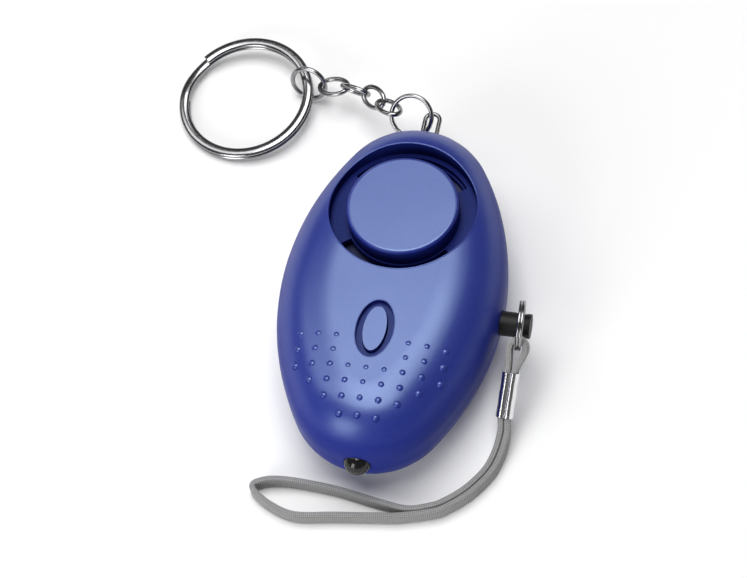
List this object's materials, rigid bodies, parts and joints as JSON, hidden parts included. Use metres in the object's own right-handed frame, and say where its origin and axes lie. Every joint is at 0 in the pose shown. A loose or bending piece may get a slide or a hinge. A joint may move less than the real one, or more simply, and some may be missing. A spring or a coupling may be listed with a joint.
{
  "type": "personal safety alarm",
  "caption": "Oval pocket alarm with a round sounder, an oval lamp button, a pull pin on a wrist strap and a split key ring on a short chain.",
  "frame": {"origin": "centre of the case's flat rear face, which lies on the table", "axes": "+Z out of the case's front, +Y along the case to its key-ring end, +X to the side the pull pin comes out of"},
  "size_m": [0.0806, 0.1029, 0.0222],
  "materials": {
    "case_blue": "metallic gloss",
    "key_blue": "metallic gloss",
    "brass": "bare",
    "ceramic": "matte",
    "red_wire": "insulation",
    "board_green": "solder mask",
    "coil": "enamelled wire",
    "black_plastic": "matte",
    "switch_grey": "matte",
    "cell_steel": "brushed",
    "lamp_clear": "clear",
    "chrome": "polished",
    "steel": "zinc plated",
    "tape_grey": "woven"
  },
  "bodies": {
    "case": {"front_shell": "case_blue", "rear_shell": "case_blue", "sounder_cap": "case_blue", "sounder_plate": "brass", "sounder_ceramic": "ceramic", "sounder_leads": "red_wire", "circuit_board": "board_green", "boost_coil": "coil", "control_chip": "black_plastic", "driver_transistor": "black_plastic", "switch_body": "switch_grey", "contact_fixed": "brass", "button_cells": "cell_steel", "cell_contact": "brass", "cell_spring": "brass", "lamp_lens": "lamp_clear", "lamp_leads": "steel", "case_screws": "steel", "keyring_staple": "chrome"},
    "button": {"light_button": "key_blue"},
    "plunger": {"switch_plunger": "black_plastic"},
    "pin": {"pull_pin": "black_plastic"},
    "leaf": {"switch_leaf": "brass"},
    "strap_ring": {"pin_ring": "chrome"},
    "strap": {"strap_eye": "tape_grey", "crimp_ferrule": "chrome", "wrist_strap": "tape_grey"},
    "staple_ring_body": {"staple_ring": "chrome"},
    "chain_link_1_body": {"chain_link_1": "chrome"},
    "chain_link_2_body": {"chain_link_2": "chrome"},
    "chain_link_3_body": {"chain_link_3": "chrome"},
    "chain_link_4_body": {"chain_link_4": "chrome"},
    "end_ring_body": {"end_ring": "chrome"},
    "key_ring_body": {"key_ring": "chrome"}
  },
  "joints": [
    {"name": "button_press", "type": "slide", "parent": "case", "child": "button", "axis": [0, 0, -1], "range_m": [0, 0.0004], "stiffness_N_per_m": 300},
    {"name": "plunger_press", "type": "slide", "parent": "case", "child": "plunger", "axis": [0, 0, -1], "range_m": [0, 0.0004]},
    {"name": "pin_pull", "type": "slide", "parent": "case", "child": "pin", "axis": [1, 0, 0], "range_m": [0, 0.012]},
    {"name": "leaf_close", "type": "hinge", "parent": "case", "child": "leaf", "pos_m": [0.0035, -0.00153, 0.0101], "axis": [0, 0, -1], "range_deg": [0, 7.6]},
    {"name": "ring_swing", "type": "hinge", "parent": "pin", "child": "strap_ring", "pos_m": [0.0245, -0.0025, 0.011], "axis": [0, 0.8729, 0.4879], "range_deg": [0, 40]},
    {"name": "strap_swing", "type": "hinge", "parent": "strap_ring", "child": "strap", "pos_m": [0.02496, -0.00847, 0.01267], "axis": [0, 0, 1], "range_deg": [0, 20]},
    {"name": "staple_ring_swing", "type": "hinge", "parent": "case", "child": "staple_ring_body", "pos_m": [-0.0014, 0.04014, 0.011], "axis": [0, 1, 0], "range_deg": [-8, 8]},
    {"name": "chain_link_1_swing", "type": "hinge", "parent": "staple_ring_body", "child": "chain_link_1_body", "pos_m": [-0.00824, 0.04113, 0.011], "axis": [0.0064, 0.4693, 0.883], "range_deg": [-15, 15]},
    {"name": "chain_link_2_swing", "type": "hinge", "parent": "chain_link_1_body", "child": "chain_link_2_body", "pos_m": [-0.01137, 0.04472, 0.00908], "axis": [-0.5942, -0.4472, 0.6686], "range_deg": [-15, 15]},
    {"name": "chain_link_3_swing", "type": "hinge", "parent": "chain_link_2_body", "child": "chain_link_3_body", "pos_m": [-0.01547, 0.04749, 0.00738], "axis": [0.254, 0.9109, 0.3253], "range_deg": [-15, 15]},
    {"name": "chain_link_4_swing", "type": "hinge", "parent": "chain_link_3_body", "child": "chain_link_4_body", "pos_m": [-0.02013, 0.04926, 0.00578], "axis": [-0.273, 0.0384, 0.9613], "range_deg": [-15, 15]},
    {"name": "end_ring_swing", "type": "hinge", "parent": "chain_link_4_body", "child": "end_ring_body", "pos_m": [-0.02514, 0.04983, 0.00436], "axis": [-0.1537, -0.9388, 0.3083], "range_deg": [-15, 15]},
    {"name": "key_ring_swing", "type": "hinge", "parent": "end_ring_body", "child": "key_ring_body", "pos_m": [-0.02785, 0.05021, 0.00413], "axis": [-0.0915, -0.0869, 0.992], "range_deg": [-15, 15]}
  ],
  "couplings": [
    {"joint": "plunger_press", "follows": "button_press", "ratio": 1},
    {"joint": "leaf_close", "follows": "pin_pull", "rad_per_m": 10.83}
  ]
}
